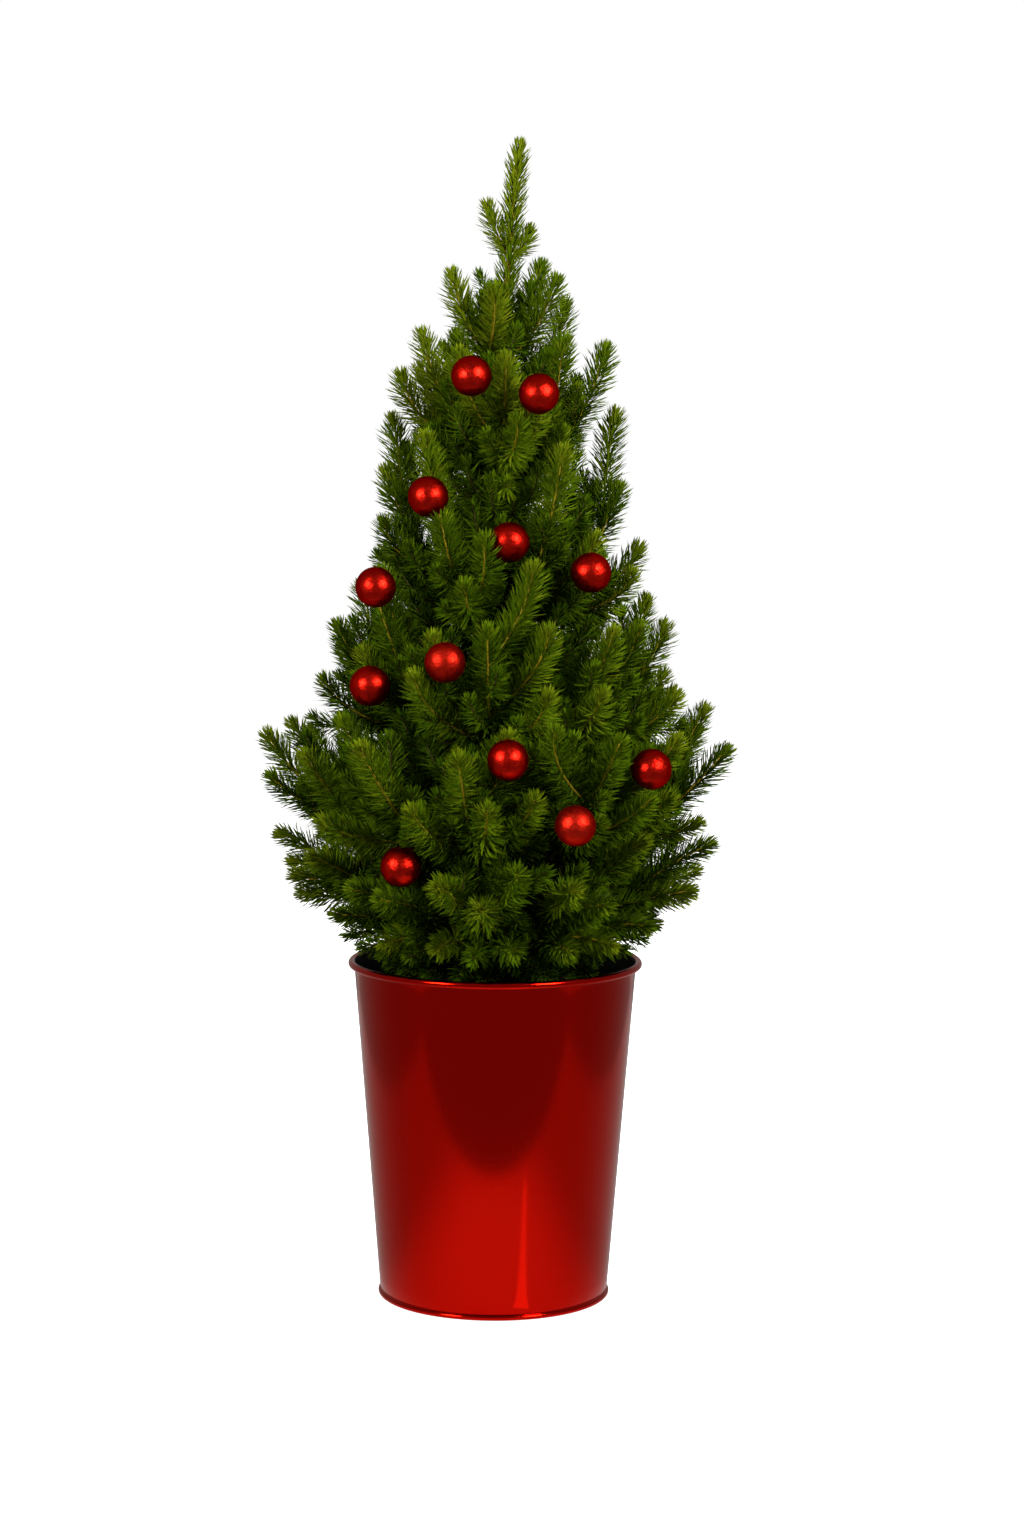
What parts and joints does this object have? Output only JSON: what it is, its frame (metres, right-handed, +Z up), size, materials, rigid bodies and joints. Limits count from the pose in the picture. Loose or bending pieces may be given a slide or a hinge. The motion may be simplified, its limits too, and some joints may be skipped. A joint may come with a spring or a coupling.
{
  "type": "potted alberta spruce",
  "caption": "Young cone-shaped spruce with short upswept needle sprays, decorated as a small festive tree, in a tapered metal pot with a rolled rim.",
  "frame": {"origin": "centre of the pot's flat underside", "axes": "+Z up along the trunk and the pot's axis, -Y towards the side shown in the picture, +X to the viewer's right"},
  "size_m": [0.2967, 0.2738, 0.6952],
  "materials": {
    "red_tin": "gloss metallic paint with fine sparkle",
    "soil": "rough peat and bark compost",
    "bark": "rough grey-brown bark, ochre on young twigs",
    "needles": "waxy matt green needles",
    "bauble": "satin red metallic lacquer"
  },
  "bodies": {
    "root": {"bough_lower_1": "bark", "bough_lower_2": "bark", "bough_lower_3": "bark", "bough_lower_4": "bark", "bough_lower_5": "bark", "bough_lower_6": "bark", "bough_lower_7": "bark", "bough_skirt_1": "bark", "bough_skirt_2": "bark", "bough_skirt_3": "bark", "bough_skirt_4": "bark", "bough_skirt_5": "bark", "bough_skirt_6": "bark", "bough_skirt_7": "bark", "bough_wide_1": "bark", "bough_wide_2": "bark", "bough_wide_3": "bark", "bough_wide_4": "bark", "bough_wide_5": "bark", "bough_wide_6": "bark", "bough_wide_7": "bark", "needles_leader": "needles", "needles_lower_1": "needles", "needles_lower_2": "needles", "needles_lower_3": "needles", "needles_lower_4": "needles", "needles_lower_5": "needles", "needles_lower_6": "needles", "needles_lower_7": "needles", "needles_middle_1": "needles", "needles_middle_2": "needles", "needles_middle_3": "needles", "needles_middle_4": "needles", "needles_middle_5": "needles", "needles_middle_6": "needles", "needles_skirt_1": "needles", "needles_skirt_2": "needles", "needles_skirt_3": "needles", "needles_skirt_4": "needles", "needles_skirt_5": "needles", "needles_skirt_6": "needles", "needles_skirt_7": "needles", "needles_top_1": "needles", "needles_top_2": "needles", "needles_top_3": "needles", "needles_upper_1": "needles", "needles_upper_2": "needles", "needles_upper_3": "needles", "needles_upper_4": "needles", "needles_upper_5": "needles", "needles_wide_1": "needles", "needles_wide_2": "needles", "needles_wide_3": "needles", "needles_wide_4": "needles", "needles_wide_5": "needles", "needles_wide_6": "needles", "needles_wide_7": "needles", "pot": "red_tin", "soil": "soil", "trunk": "bark"}
  },
  "joints": []
}
